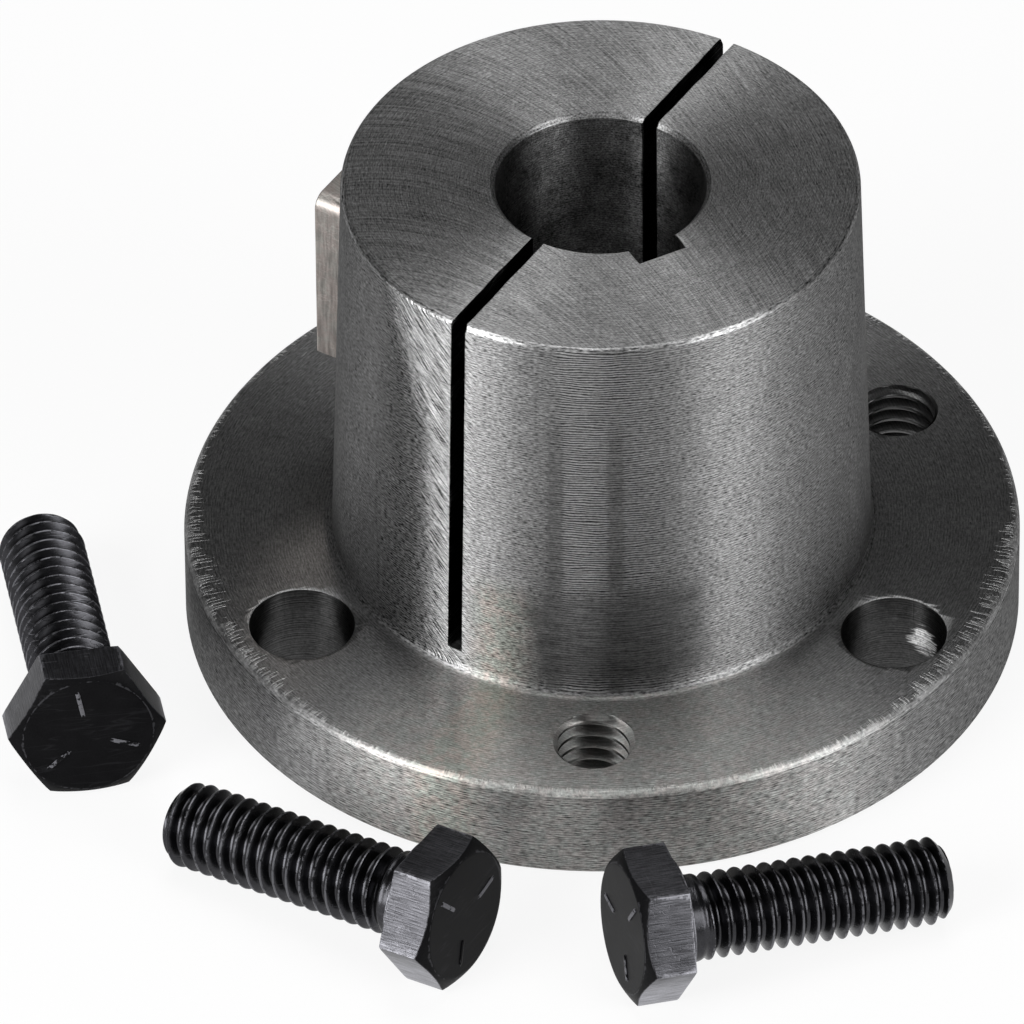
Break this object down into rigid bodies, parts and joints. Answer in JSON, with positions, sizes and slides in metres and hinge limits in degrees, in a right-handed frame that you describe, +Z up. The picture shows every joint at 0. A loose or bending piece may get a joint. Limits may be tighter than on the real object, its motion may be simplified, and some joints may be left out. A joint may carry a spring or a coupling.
{
  "type": "quick disconnect bushing",
  "caption": "Flanged bushing with a tapered split barrel, keyed bore and drive key, beside the hexagon cap screws that draw it into a tapered hub.",
  "frame": {"origin": "where the bore's axis crosses the flange's bottom face, the centre of the bolt circle in that plane", "axes": "+Z up the bore's axis towards the barrel's nose; a clearance hole lies on +Y and a jacking hole on -Y"},
  "size_m": [0.0933, 0.0975, 0.0492],
  "materials": {
    "turned_steel": "bare machined steel with fine turning lines",
    "key_steel": "bright drawn key bar, satin",
    "black_oxide": "glossy black oxide"
  },
  "bodies": {
    "root": {"bushing_body": "turned_steel", "drive_key": "key_steel", "cap_screw_left": "black_oxide", "cap_screw_front": "black_oxide", "cap_screw_right": "black_oxide"}
  },
  "joints": []
}
